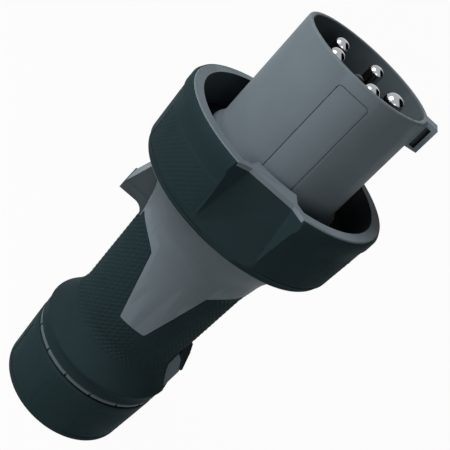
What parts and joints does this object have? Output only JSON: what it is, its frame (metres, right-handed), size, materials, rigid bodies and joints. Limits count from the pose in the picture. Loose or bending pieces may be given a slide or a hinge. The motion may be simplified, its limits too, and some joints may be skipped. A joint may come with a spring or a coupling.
{
  "type": "industrial power plug",
  "caption": "Watertight industrial power plug with a bayonet ring, round pins in a keyed shroud, a soft-grip handle and a latched cable gland.",
  "frame": {"origin": "centre of the cable gland's foot, on the plug's axis", "axes": "+Z along the plug's axis towards the pins, +X towards the key and the gland latch, -X towards the lid lug"},
  "size_m": [0.1174, 0.1114, 0.25],
  "materials": {
    "grey_housing": "fine moulded texture",
    "soft_black": "matt, knurled",
    "black_nylon": "matt",
    "insulator": "smooth",
    "plated_contact": "nickel plated",
    "seal_rubber": "smooth",
    "steel": "zinc plated"
  },
  "bodies": {
    "plug_body": {"front_housing": "grey_housing", "contact_carrier": "insulator", "carrier_back_plate": "insulator", "carrier_screws": "steel", "pin_earth": "plated_contact", "pin_line_1": "plated_contact", "pin_line_2": "plated_contact", "pin_line_3": "plated_contact", "pin_neutral": "plated_contact", "pin_pilot": "plated_contact", "terminal_screws": "steel", "face_gasket": "seal_rubber", "housing_seal": "seal_rubber", "handle_shell": "grey_housing", "handle_grip": "soft_black", "latch_pin": "steel", "latch_spring": "steel", "clamp_cage": "black_nylon", "sealing_insert": "seal_rubber"},
    "locking_ring": {"bayonet_ring": "grey_housing", "ring_grip": "soft_black"},
    "gland_follower": {"thrust_ring": "black_nylon"},
    "gland": {"gland_nut": "black_nylon", "ratchet_ring": "grey_housing"},
    "lock_lever": {"latch_lever": "grey_housing", "latch_pad": "soft_black"}
  },
  "joints": [
    {"name": "ring_turn", "type": "hinge", "parent": "plug_body", "child": "locking_ring", "pos_m": [0, 0, 0.177], "axis": [0, 0, 1], "range_deg": [0, 50]},
    {"name": "gland_feed", "type": "slide", "parent": "plug_body", "child": "gland_follower", "axis": [0, 0, 1], "range_m": [-0.006, 0]},
    {"name": "gland_turn", "type": "hinge", "parent": "gland_follower", "child": "gland", "pos_m": [0, 0, 0.018], "axis": [0, 0, 1], "range_deg": [-720, 0]},
    {"name": "lever_press", "type": "hinge", "parent": "plug_body", "child": "lock_lever", "pos_m": [0.0323, 0, 0.054], "axis": [0, -1, 0], "range_deg": [0, 4.5], "stiffness_Nm_per_rad": 0.5, "springref_deg": -11.46}
  ],
  "couplings": [
    {"joint": "gland_feed", "follows": "gland_turn", "m_per_rad": 0.00047746}
  ]
}
